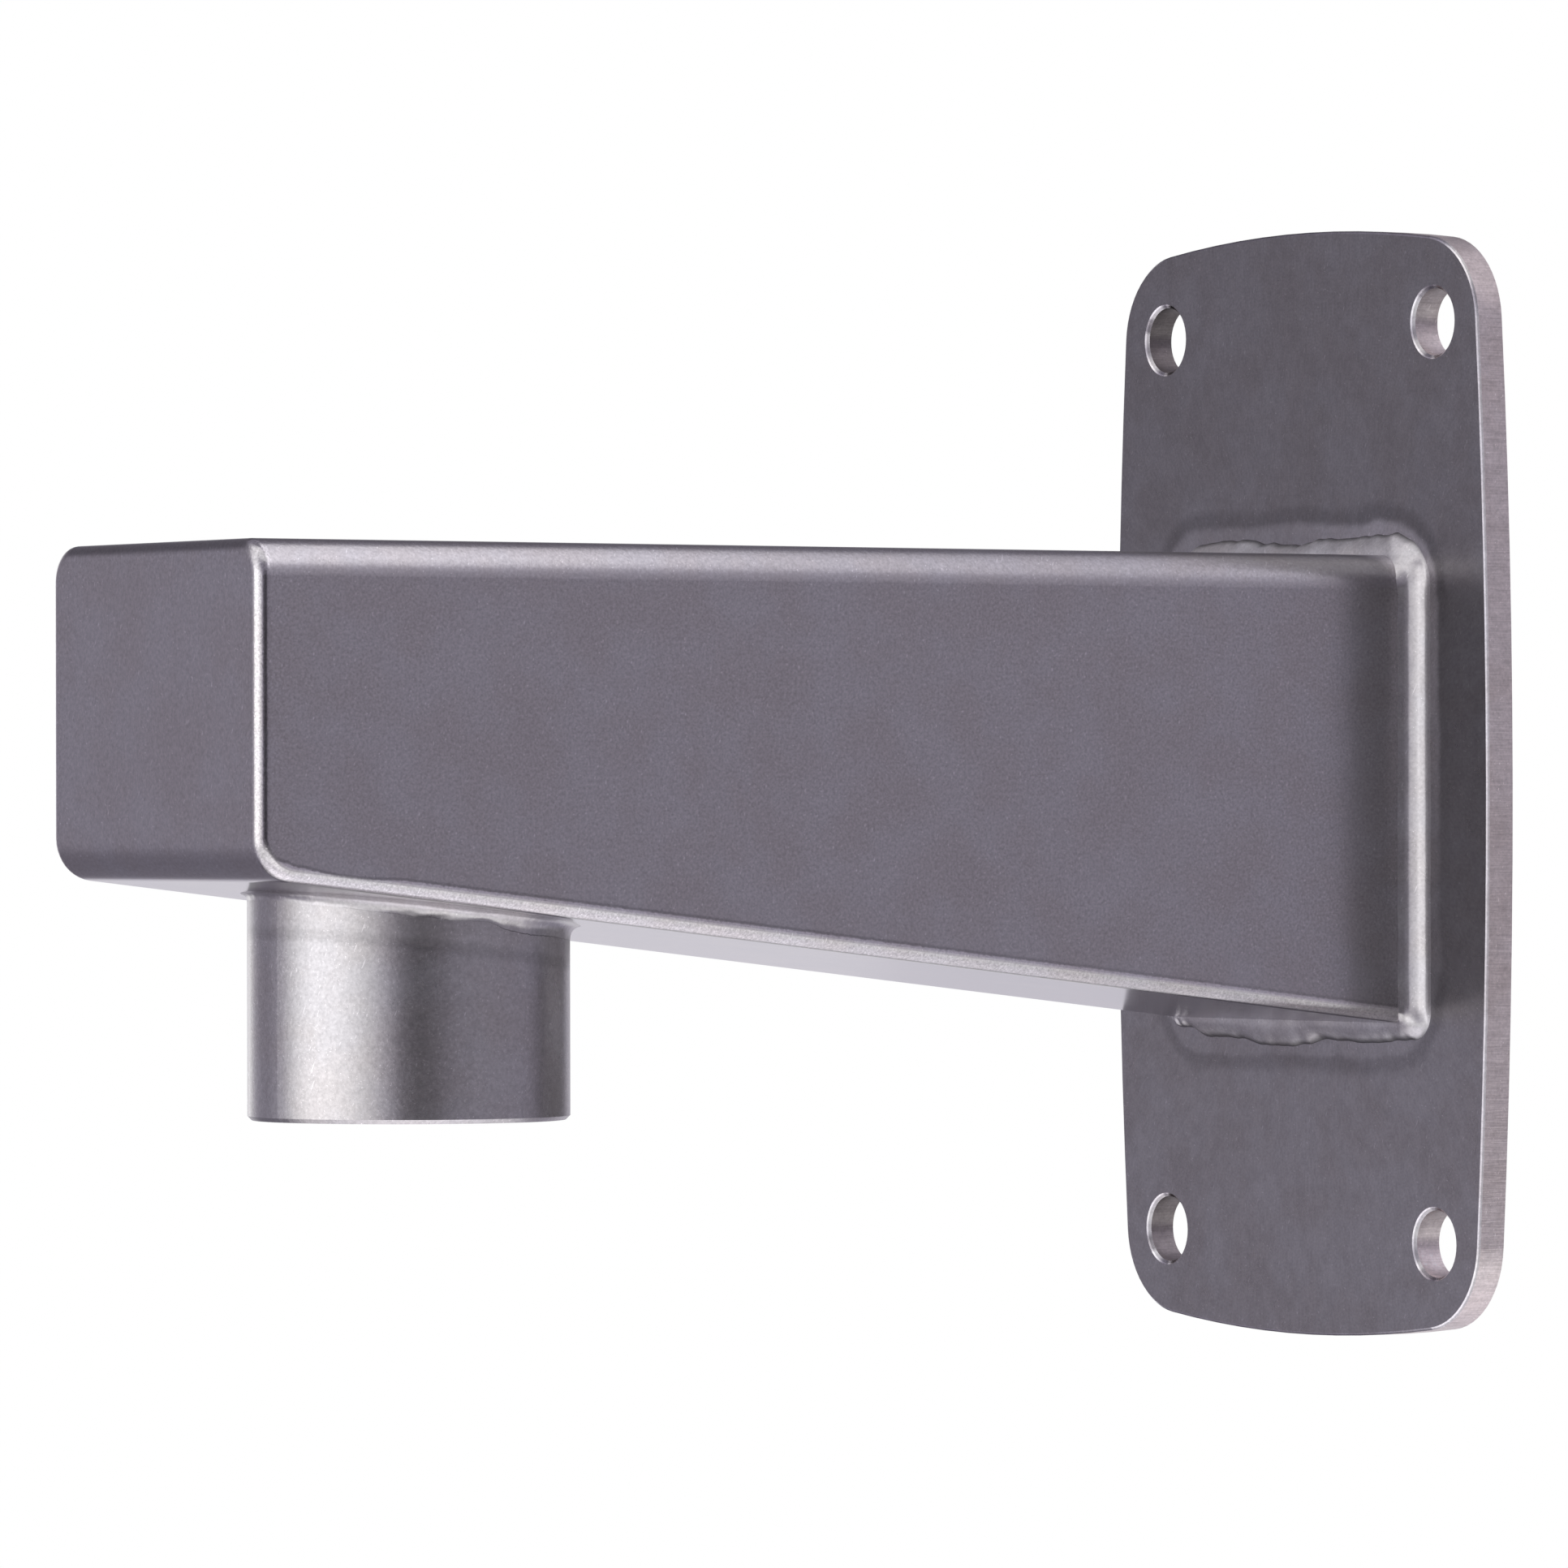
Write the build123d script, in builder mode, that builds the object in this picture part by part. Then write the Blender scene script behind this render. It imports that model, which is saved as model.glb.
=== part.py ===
from build123d import *
import os
from math import atan, cos

# Driving dimensions, in millimetres.
# The origin is the middle of the wall plate's back face: +X leaves the wall, +Z is up.

# Wall plate: the bolt pattern sets its size
bolt_spacing_across = 90.0
bolt_spacing_up = 178.0
bolt_hole_diameter = 13.0
bolt_hole_chamfer = 0.7
plate_side_margin = 17.5
plate_end_margin = 19.25
plate_thickness = 6.0
side_bulge = 4.3
end_bulge = 4.6
plate_corner_radius = 17.5
plate_edge_chamfer = 0.5
cable_hole_diameter = 50.0

# Arm: a folded channel, and a folded strip that closes its front and its underside
arm_reach = 263.2
arm_side_land = 9.0
arm_height_at_wall = 91.0
arm_height_at_front = 61.4
arm_middle_height = -1.3
sheet_thickness = 3.0
channel_inside_bend = 3.8
strip_inside_bend = 5.0
ground_edge_radius = 2.5

# Pipe coupling: welded under the arm, with a 1 1/2 inch pipe thread inside
coupling_diameter = 60.0
coupling_length = 39.0
coupling_setback = 54.2
thread_minor_diameter = 44.85
mouth_inner_chamfer = 1.5
mouth_outer_chamfer = 0.8

# Weld beads
plate_weld_leg = 3.6
coupling_weld_leg = 2.0
weld_toe_lip = 0.3

# Sizes that follow
plate_width = bolt_spacing_across + 2 * plate_side_margin
plate_height = bolt_spacing_up + 2 * plate_end_margin
arm_width = coupling_diameter + 2 * arm_side_land
channel_outside_bend = channel_inside_bend + sheet_thickness
strip_outside_bend = strip_inside_bend + sheet_thickness
edge_radius = min(ground_edge_radius, 0.85 * sheet_thickness)
arm_top = arm_middle_height + arm_height_at_wall / 2
underside_at_wall = arm_top - arm_height_at_wall
underside_at_front = arm_top - arm_height_at_front
underside_slope = (underside_at_front - underside_at_wall) / (arm_reach - plate_thickness)
underside_angle = atan(underside_slope)
coupling_from_wall = arm_reach - coupling_setback
underside_at_coupling = underside_at_wall + underside_slope * (coupling_from_wall - plate_thickness)
coupling_mouth = underside_at_coupling - coupling_length

# Corners of the arm's side view, as (distance from the wall, height)
rear_bottom = (plate_thickness, underside_at_wall)
front_bottom = (arm_reach, underside_at_front)
front_top = (arm_reach, arm_top)
rear_top = (plate_thickness, arm_top)
strip_start = (0, underside_at_wall - underside_slope * plate_thickness)

# The arm's sloping underside where the coupling's axis meets it, with its normal pointing down
underside = Plane(
    origin=(coupling_from_wall, 0, underside_at_coupling),
    x_dir=(1, 0, underside_slope),
    z_dir=(underside_slope, 0, -1),
)


# Wall plate, with bowed sides, four bolt holes with chamfered rims and the cable hole behind the arm
corner_y = plate_width / 2 - side_bulge
corner_z = plate_height / 2 - end_bulge
with BuildPart() as wall_plate:
    with BuildSketch(Plane.YZ) as plate_outline:
        with BuildLine():
            ThreePointArc((-corner_y, corner_z), (0, plate_height / 2), (corner_y, corner_z))
            ThreePointArc((corner_y, corner_z), (plate_width / 2, 0), (corner_y, -corner_z))
            ThreePointArc((corner_y, -corner_z), (0, -plate_height / 2), (-corner_y, -corner_z))
            ThreePointArc((-corner_y, -corner_z), (-plate_width / 2, 0), (-corner_y, corner_z))
        make_face()
        fillet(plate_outline.vertices(), radius=plate_corner_radius)
        with GridLocations(bolt_spacing_across, bolt_spacing_up, 2, 2):
            Circle(bolt_hole_diameter / 2, mode=Mode.SUBTRACT)
        with Locations((0, arm_middle_height)):
            Circle(cable_hole_diameter / 2, mode=Mode.SUBTRACT)
    extrude(amount=plate_thickness)
    plate_front = wall_plate.faces().sort_by(Axis.X)[-1]
    bolt_hole_rims = plate_front.inner_wires().sort_by(SortBy.LENGTH)[:4]
    chamfer(plate_front.outer_wire().edges(), length=plate_edge_chamfer)
    chamfer(bolt_hole_rims.edges(), length=bolt_hole_chamfer)
wall_plate.part.label = "wall_plate"


# The arm as one block, with its bends and its ground edges: both sheets are cut from it
with BuildPart() as arm_block:
    with BuildSketch(Plane.XZ):
        with BuildLine():
            FilletPolyline(rear_bottom, front_bottom, front_top, radius=strip_outside_bend)
            Polyline(front_top, rear_top, rear_bottom)
        make_face()
    extrude(amount=arm_width / 2, both=True)
    fillet(arm_block.edges().filter_by(Axis.X).group_by(Axis.Z)[-1], radius=channel_outside_bend)
    front_face = arm_block.faces().sort_by(Axis.X)[-1]
    bottom_bend = arm_block.faces().filter_by(GeomType.CYLINDER).sort_by(Axis.Z)[0]
    bottom_face = arm_block.faces().filter_by(GeomType.PLANE).sort_by(Axis.Z)[0]
    strip_rim = ShapeList([front_face, bottom_bend, bottom_face]).edges().filter_by(Axis.Y, reverse=True)
    strip_top = front_face.edges().sort_by(Axis.Z)[-1]
    fillet(strip_rim + ShapeList([strip_top]), radius=edge_radius)

# The strip before its edges are ground: wider than the arm, so that the block trims it
with BuildPart() as strip_blank:
    with BuildSketch(Plane.XZ):
        with BuildLine():
            FilletPolyline(strip_start, front_bottom, front_top, radius=strip_outside_bend)
            offset(amount=sheet_thickness, side=Side.LEFT)
        make_face()
    extrude(amount=arm_width, both=True)

# Channel: top and two sides folded from one sheet
with BuildPart() as arm_channel:
    add(arm_block.part)
    with BuildSketch(Plane.YZ) as hollow:
        with Locations((0, arm_top - sheet_thickness)):
            Rectangle(arm_width - 2 * sheet_thickness, arm_height_at_wall, align=(Align.CENTER, Align.MAX))
        fillet(hollow.vertices().group_by(Axis.Y)[-1], radius=channel_inside_bend)
    extrude(amount=arm_reach, mode=Mode.SUBTRACT)
    add(strip_blank.part, mode=Mode.SUBTRACT)
arm_channel.part.label = "arm_channel"

# Strip: front and underside in one folded piece, pierced over the coupling
with BuildPart() as front_and_underside_strip:
    add(strip_blank.part)
    add(arm_block.part, mode=Mode.INTERSECT)
    with Locations((coupling_from_wall, 0, underside_at_coupling)):
        Cylinder(thread_minor_diameter / 2, coupling_diameter / 2, mode=Mode.SUBTRACT)
front_and_underside_strip.part.label = "front_and_underside_strip"


# Coupling: a tube with its top cut to the slope of the underside
with BuildPart() as pipe_coupling:
    with BuildSketch(Plane.XY.offset(coupling_mouth)):
        with Locations((coupling_from_wall, 0)):
            Circle(coupling_diameter / 2)
            Circle(thread_minor_diameter / 2, mode=Mode.SUBTRACT)
    extrude(amount=coupling_length + coupling_diameter)
    split(bisect_by=underside, keep=Keep.TOP)
    mouth_edges = pipe_coupling.edges().group_by(Axis.Z)[0].sort_by(SortBy.RADIUS)
    chamfer(mouth_edges[0], length=mouth_inner_chamfer)
    chamfer(mouth_edges[-1], length=mouth_outer_chamfer)
pipe_coupling.part.label = "pipe_coupling"


# Fillet weld all round the arm, on the plate
with BuildPart() as plate_weld:
    with BuildSketch(Plane.YZ.offset(plate_thickness)) as weld_toe:
        with Locations((0, arm_middle_height)):
            Rectangle(arm_width, arm_height_at_wall)
        fillet(weld_toe.vertices().group_by(Axis.Y)[-1], radius=channel_outside_bend)
        offset(amount=plate_weld_leg)
    extrude(amount=plate_weld_leg - weld_toe_lip, taper=45)
    add(arm_block.part, mode=Mode.SUBTRACT)
plate_weld.part.label = "plate_weld"

# Fillet weld all round the coupling, on the sloping underside
coupling_radius = coupling_diameter / 2
coupling_long_radius = coupling_radius / cos(underside_angle)
with BuildPart() as coupling_weld:
    with BuildSketch(underside):
        Ellipse(coupling_long_radius + coupling_weld_leg, coupling_radius + coupling_weld_leg)
    with BuildSketch(underside.offset(coupling_weld_leg)):
        with Locations((-coupling_weld_leg * underside_slope, 0)):
            Ellipse(coupling_long_radius + weld_toe_lip, coupling_radius + weld_toe_lip)
    loft()
    with Locations((coupling_from_wall, 0, underside_at_coupling)):
        Cylinder(coupling_radius, coupling_diameter, mode=Mode.SUBTRACT)
coupling_weld.part.label = "coupling_weld"


os.makedirs("parts", exist_ok=True)
pieces = (
    wall_plate,
    arm_channel,
    front_and_underside_strip,
    pipe_coupling,
    plate_weld,
    coupling_weld,
)
for piece in pieces:
    export_step(piece.part, "parts/" + piece.part.label + ".step")
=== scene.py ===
import math

import bmesh
import bpy
from bpy.props import FloatProperty, FloatVectorProperty, IntProperty, PointerProperty
from bpy.types import Operator, Panel, PropertyGroup
from mathutils import Matrix, Vector, noise


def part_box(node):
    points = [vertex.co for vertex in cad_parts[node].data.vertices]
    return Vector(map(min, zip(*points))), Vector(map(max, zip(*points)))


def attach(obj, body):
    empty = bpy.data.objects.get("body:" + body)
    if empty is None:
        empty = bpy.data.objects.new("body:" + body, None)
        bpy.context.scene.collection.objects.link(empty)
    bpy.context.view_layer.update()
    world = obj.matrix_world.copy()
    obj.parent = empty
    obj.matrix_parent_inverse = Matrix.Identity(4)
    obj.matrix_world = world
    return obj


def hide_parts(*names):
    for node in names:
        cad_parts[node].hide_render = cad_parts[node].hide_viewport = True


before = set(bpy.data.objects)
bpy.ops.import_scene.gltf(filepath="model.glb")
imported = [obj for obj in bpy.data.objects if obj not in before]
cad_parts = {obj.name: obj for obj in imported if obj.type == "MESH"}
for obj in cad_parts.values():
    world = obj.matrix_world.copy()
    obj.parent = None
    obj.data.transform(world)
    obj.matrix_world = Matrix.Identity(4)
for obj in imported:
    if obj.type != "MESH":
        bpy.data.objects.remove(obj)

bl_info = {
    "name": "Camera Wall Bracket",
    "version": (1, 0, 0),
    "blender": (4, 5, 0),
    "location": "3D View > Sidebar > Bracket",
    "description": "Finishes a welded stainless steel camera bracket round its solid model",
    "category": "Object",
}

MM = 0.001
SHARP_ANGLE = math.radians(32)

# Places read from the solid model, in metres
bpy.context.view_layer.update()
PLATE_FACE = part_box("wall_plate")[1].x
STRIP_LOW, STRIP_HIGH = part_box("front_and_underside_strip")
COUPLING_LOW, COUPLING_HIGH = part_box("pipe_coupling")
ARM_HALF_WIDTH = STRIP_HIGH.y
ARM_TOP = STRIP_HIGH.z
ARM_BOTTOM = STRIP_LOW.z
COUPLING_AXIS = (COUPLING_LOW.x + COUPLING_HIGH.x) / 2
COUPLING_RADIUS = COUPLING_HIGH.y
COUPLING_MOUTH = COUPLING_LOW.z
UNDERSIDE_SLOPE = (COUPLING_HIGH.z - ARM_BOTTOM) / (COUPLING_HIGH.x - PLATE_FACE)
ARM_MIDDLE = (ARM_TOP + ARM_BOTTOM) / 2

# Places that the solid model shows but its boxes don't give, in metres
ARM_BEND = 6.8 * MM
FRONT_BEND = 8.0 * MM
# SEAM and FRONT_SEAM place the seam's dark line: partly the fused joint, partly painted shade, and up the
# front a painted dark reflection
SEAM = 3.2 * MM
FRONT_SEAM = 1.55 * MM
BOLT_Y = 45 * MM
BOLT_Z = 89 * MM
BOLT_RADIUS = 6.5 * MM


def underside_height(x):
    """Height of the arm's sloping underside at a distance x from the wall."""
    return ARM_BOTTOM + UNDERSIDE_SLOPE * (x - PLATE_FACE)


def size(name, millimetres, description):
    """A length that the sidebar shows, with its default in millimetres."""
    return FloatProperty(
        name=name, description=description, default=millimetres * MM, unit="LENGTH", precision=5
    )


def colour(name, value, description):
    """A colour that the sidebar shows."""
    return FloatVectorProperty(
        name=name, description=description, default=value, subtype="COLOR", size=3, min=0, max=1
    )


def share(name, value, description):
    """A plain number from 0 to 1 that the sidebar shows."""
    return FloatProperty(name=name, description=description, default=value, min=0, max=1, subtype="FACTOR")


class SteelFinish(PropertyGroup):
    """Colours and roughness of the electropolished steel"""

    plate_colour: colour("Plate", (0.372, 0.356, 0.372), "Colour of the wall plate")
    sheet_colour: colour("Sheet", (0.54, 0.517, 0.54), "Colour of the folded sheets of the arm")
    tube_colour: colour("Tube", (0.51, 0.49, 0.505), "Colour of the turned coupling")
    weld_colour: colour("Weld", (0.68, 0.655, 0.68), "Colour of the weld beads")
    plate_roughness: share("Plate Roughness", 0.28, "Roughness of the wall plate")
    sheet_roughness: share("Sheet Roughness", 0.25, "Roughness of the folded sheets")
    tube_roughness: share("Tube Roughness", 0.27, "Roughness of the turned coupling")
    weld_roughness: share("Weld Roughness", 0.28, "Roughness of the beads beside the arm and on the coupling")
    rough_weld: share("Rough Weld", 0.50, "Roughness of the bead above the arm, and half-way to it below")
    grain_size: size("Grain", 0.6, "Spacing of the etched grain")
    grain_contrast: share("Grain Contrast", 0.62, "How much the etched grain changes the tone")
    grain_depth: size("Grain Depth", 0.004, "Height of the etched grain")


class CouplingSizes(PropertyGroup):
    """Sizes of the pipe coupling and of the thread inside it"""

    minor_radius: size("Minor Radius", 22.425, "Radius of the thread's crests")
    major_radius: size("Major Radius", 23.9, "Radius of the thread's roots")
    pitch: size("Pitch", 2.309, "Distance from one thread to the next")
    mouth_lead: size("Mouth Lead", 1.5, "Depth of the chamfer that leads a pipe into the thread")
    rim_chamfer: size("Rim Chamfer", 0.8, "Chamfer round the outside of the mouth")
    thread_gap: size("Thread Gap", 2.5, "Plain bore left between the thread and the arm")
    segments: IntProperty(name="Segments", description="Faces round the coupling", default=128, min=32)


class WeldSizes(PropertyGroup):
    """Legs and ripples of the two weld beads"""

    top_corner: size("Top Corner", 6.8, "Bend radius of the arm's upper corners")
    low_corner: size("Lower Corner", 2.5, "Rounding of the arm's lower corners")
    side_leg: size("Side Leg", 5.15, "Width of the bead on the plate beside the arm")
    arm_leg: size("Arm Leg", 4.1, "Width of the bead on the arm's sides")
    toe_shadow: size("Toe Shadow", 1.0, "Width of the dark line along the toe above and below the arm")
    coupling_leg: size("Coupling Leg", 2.0, "Width of the coupling's bead on the underside")


class StudioSetup(PropertyGroup):
    """The camera, the floor and the lights"""

    camera_azimuth: FloatProperty(
        name="Camera Azimuth", description="Turn of the camera from the arm's side towards its front",
        default=math.radians(32.7386), subtype="ANGLE",
    )
    camera_elevation: FloatProperty(
        name="Camera Elevation", description="Height of the camera above the level",
        default=math.radians(-0.1674), subtype="ANGLE",
    )
    camera_roll: FloatProperty(
        name="Camera Roll", description="Tilt of the camera about its own axis",
        default=math.radians(-0.1035), subtype="ANGLE",
    )
    camera_distance: size("Camera Distance", 1928.486, "Distance from the camera to its aim")
    aim_ahead: size("Aim", 120.0, "Distance from the wall of the point that the camera faces")
    aim_right: size("Aim Right", 5.0487, "How far the aim lies right of the picture's middle")
    aim_up: size("Aim Up", 0.0778, "How far the aim lies above the picture's middle")
    lens: FloatProperty(
        name="Lens", description="Focal length on a sensor 36 mm wide, in millimetres", default=232.29
    )
    floor_height: size("Floor Height", -350.0, "Height of the floor")
    floor_radius: size("Floor Radius", 1500.0, "Radius of the floor")


def add_node(tree, kind, sockets=None, **settings):
    """Add a node, set its attributes, and give each input a value or a link."""
    made = tree.nodes.new(kind)
    for key, value in settings.items():
        setattr(made, key, value)
    for key, value in (sockets or {}).items():
        if isinstance(value, bpy.types.NodeSocket):
            tree.links.new(value, made.inputs[key])
        else:
            made.inputs[key].default_value = value
    return made


def calc(tree, operation, *values, clamp=False):
    """One step of arithmetic; each value is a number or a socket."""
    made = add_node(tree, "ShaderNodeMath", dict(enumerate(values)), operation=operation, use_clamp=clamp)
    return made.outputs[0]


def ease(tree, value, low, high, start=0.0, end=1.0):
    """Turn a value between low and high smoothly into one between start and end."""
    sockets = {"Value": value, "From Min": low, "From Max": high, "To Min": start, "To Max": end}
    return add_node(tree, "ShaderNodeMapRange", sockets, interpolation_type="SMOOTHSTEP").outputs[0]


def mix_colour(tree, factor, first, second, how="MIX"):
    """Blend two colours, each a colour or a socket."""
    made = tree.nodes.new("ShaderNodeMix")
    made.data_type = "RGBA"
    made.blend_type = how
    for index, value in ((0, factor), (6, first), (7, second)):
        if isinstance(value, bpy.types.NodeSocket):
            tree.links.new(value, made.inputs[index])
        elif index == 0:
            made.inputs[index].default_value = value
        else:
            made.inputs[index].default_value = (*value, 1.0)
    return made.outputs[2]


def new_group(name, inputs, outputs):
    """A shader node group with named inputs and float outputs, and its two ends."""
    tree = bpy.data.node_groups.new(name, "ShaderNodeTree")
    for label, kind, default in inputs:
        socket = tree.interface.new_socket(name=label, in_out="INPUT", socket_type=kind)
        if default is not None:
            socket.default_value = default
    for label in outputs:
        tree.interface.new_socket(name=label, in_out="OUTPUT", socket_type="NodeSocketFloat")
    return tree, tree.nodes.new("NodeGroupInput"), tree.nodes.new("NodeGroupOutput")


def etched_grain():
    """Fine etched grain and soft clouds."""
    tree, start, end = new_group(
        "Etched Grain",
        [("Vector", "NodeSocketVector", None), ("Spacing", "NodeSocketFloat", 0.8 * MM)],
        ["Grain", "Cloud"],
    )
    scale = calc(tree, "DIVIDE", 1.0, start.outputs["Spacing"])
    fine = add_node(
        tree, "ShaderNodeTexNoise",
        {"Vector": start.outputs["Vector"], "Scale": scale, "Detail": 3.0, "Roughness": 0.62},
    ).outputs["Fac"]
    cloud = add_node(
        tree, "ShaderNodeTexNoise",
        {"Vector": start.outputs["Vector"], "Scale": 75.0, "Detail": 3.0, "Roughness": 0.55},
    ).outputs["Fac"]
    tree.links.new(fine, end.inputs["Grain"])
    tree.links.new(cloud, end.inputs["Cloud"])
    return tree


def handling_marks():
    """Short bright scratches and flecks, scattered in three directions."""
    tree, start, end = new_group(
        "Handling Marks",
        [
            ("Vector", "NodeSocketVector", None),
            ("Length", "NodeSocketFloat", 1.6 * MM),
            ("Width", "NodeSocketFloat", 0.22 * MM),
            ("Share", "NodeSocketFloat", 0.12),
        ],
        ["Marks"],
    )
    layers = []
    for turn, offset in (((0.35, 0.2, 0.15), 0.0), ((-0.9, 0.5, 0.7), 0.37), ((1.9, -0.4, 1.2), 0.71)):
        turned = add_node(
            tree, "ShaderNodeMapping",
            {"Vector": start.outputs["Vector"], "Location": (offset,) * 3, "Rotation": turn},
        ).outputs[0]
        across = calc(tree, "DIVIDE", 0.2, start.outputs["Width"])
        along = calc(tree, "DIVIDE", 0.2, start.outputs["Length"])
        stretch = add_node(tree, "ShaderNodeCombineXYZ", {"X": across, "Y": across, "Z": along}).outputs[0]
        spread = add_node(
            tree, "ShaderNodeVectorMath", {0: turned, 1: stretch}, operation="MULTIPLY"
        ).outputs[0]
        cells = add_node(tree, "ShaderNodeTexVoronoi", {"Vector": spread, "Scale": 1.0}, feature="F1")
        pick = add_node(tree, "ShaderNodeSeparateColor", {0: cells.outputs["Color"]}).outputs[0]
        chosen = calc(tree, "LESS_THAN", pick, start.outputs["Share"])
        spot = ease(tree, cells.outputs["Distance"], 0.16, 0.08)
        layers.append(calc(tree, "MULTIPLY", chosen, spot))
    total = calc(tree, "MAXIMUM", calc(tree, "MAXIMUM", layers[0], layers[1]), layers[2])
    tree.links.new(total, end.inputs["Marks"])
    return tree


def effect(tree, name, **inputs):
    """Place a shared node group in a material."""
    made = tree.nodes.new("ShaderNodeGroup")
    made.node_tree = bpy.data.node_groups[name]
    for label, value in inputs.items():
        if isinstance(value, bpy.types.NodeSocket):
            tree.links.new(value, made.inputs[label])
        else:
            made.inputs[label].default_value = value
    return made.outputs


def times(tree, first, *others):
    """Factors multiplied together."""
    for other in others:
        first = calc(tree, "MULTIPLY", first, other)
    return first


def minus(tree, first, second):
    """The first value less the second."""
    return calc(tree, "SUBTRACT", first, second)


def diagonal(tree, across, up):
    """The distance that two lengths at right angles make."""
    return calc(tree, "SQRT", calc(tree, "MULTIPLY_ADD", across, across, times(tree, up, up)))


class Steel:
    """A satin steel material in the making: its tone, roughness and height can be added to."""

    def __init__(self, name, base, roughness, finish, clouds=0.03):
        self.material = bpy.data.materials.new(name)
        self.material.use_nodes = True
        self.tree = self.material.node_tree
        self.tree.nodes.clear()
        self.base = tuple(base)
        coordinates = self.tree.nodes.new("ShaderNodeTexCoord")
        self.place = coordinates.outputs["Object"]
        self.facing = coordinates.outputs["Normal"]
        grain, self.cloud = effect(
            self.tree, "Etched Grain", Vector=self.place, Spacing=finish.grain_size
        ).values()
        contrast = finish.grain_contrast
        tone = calc(self.tree, "MULTIPLY_ADD", grain, contrast, 1 - contrast / 2)
        tone = times(self.tree, tone, ease(self.tree, self.cloud, 0.3, 0.7, 1 - clouds, 1 + clouds))
        marks = self.marks(2.2 * MM, 0.17 * MM, 0.25)
        self.tone = calc(self.tree, "MULTIPLY_ADD", marks, 0.4, tone)
        self.roughness = calc(self.tree, "MULTIPLY_ADD", self.cloud, 0.06, roughness - 0.03)
        self.height = times(self.tree, grain, finish.grain_depth)

    def axes(self):
        """The x, y and z sockets of the place on the piece."""
        return add_node(self.tree, "ShaderNodeSeparateXYZ", {0: self.place}).outputs

    def normal(self):
        """The x, y and z sockets of the direction that the surface faces."""
        return add_node(self.tree, "ShaderNodeSeparateXYZ", {0: self.facing}).outputs

    def noise(self, scale, detail, roughness=0.5):
        """Noise over the piece, with its scale in waves for each metre."""
        sockets = {"Vector": self.place, "Scale": scale, "Detail": detail, "Roughness": roughness}
        return add_node(self.tree, "ShaderNodeTexNoise", sockets).outputs["Fac"]

    def marks(self, length, width, scattered):
        """Scratches of a length and width, on a share of the surface's cells."""
        sockets = {"Vector": self.place, "Length": length, "Width": width, "Share": scattered}
        return effect(self.tree, "Handling Marks", **sockets)["Marks"]

    def times_tone(self, factor):
        """Multiply the tone."""
        self.tone = times(self.tree, self.tone, factor)

    def shade(self, where, change):
        """Lighten or darken the tone by a share of itself, where the mask is 1."""
        self.times_tone(calc(self.tree, "MULTIPLY_ADD", where, change, 1.0))

    def roughen(self, where, change):
        """Add to the roughness, or take from it, where the mask is 1."""
        self.roughness = calc(self.tree, "MULTIPLY_ADD", where, change, self.roughness, clamp=True)

    def emboss(self, pattern, metres):
        """Raise the surface by a pattern of that height."""
        self.height = calc(self.tree, "MULTIPLY_ADD", pattern, metres, self.height)

    def finish(self, tint=None):
        """Join everything to the shader and return the material."""
        tree = self.tree
        grey = add_node(tree, "ShaderNodeCombineColor", {0: self.tone, 1: self.tone, 2: self.tone}).outputs[0]
        base = mix_colour(tree, 1.0, self.base, grey, "MULTIPLY")
        warmth = ease(tree, self.cloud, 0.35, 0.65)
        warmth = mix_colour(tree, warmth, (1.012, 1.0, 0.99), (0.992, 1.0, 1.012))
        base = mix_colour(tree, 1.0, base, warmth, "MULTIPLY")
        if tint is not None:
            base = mix_colour(tree, 1.0, base, tint, "MULTIPLY")
        bump = add_node(tree, "ShaderNodeBump", {"Strength": 1.0, "Distance": 1.0, "Height": self.height})
        shader = add_node(
            tree, "ShaderNodeBsdfPrincipled",
            {"Base Color": base, "Metallic": 1.0, "Roughness": self.roughness, "Normal": bump.outputs[0]},
        )
        output = tree.nodes.new("ShaderNodeOutputMaterial")
        tree.links.new(shader.outputs[0], output.inputs[0])
        return self.material


def outline_distance(steel):
    """How far inside the arm's side view a place lies, round the front lower corner too, and its height
    above the underside."""
    tree = steel.tree
    x, _, z = steel.axes()
    ahead = minus(tree, STRIP_HIGH.x, x)
    rise = calc(tree, "MULTIPLY_ADD", x, -UNDERSIDE_SLOPE, minus(tree, z, underside_height(0)))
    past_front = calc(tree, "MAXIMUM", minus(tree, FRONT_BEND, ahead), 0.0)
    past_low = calc(tree, "MAXIMUM", minus(tree, FRONT_BEND, rise), 0.0)
    return minus(tree, FRONT_BEND, diagonal(tree, past_front, past_low)), rise


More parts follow.
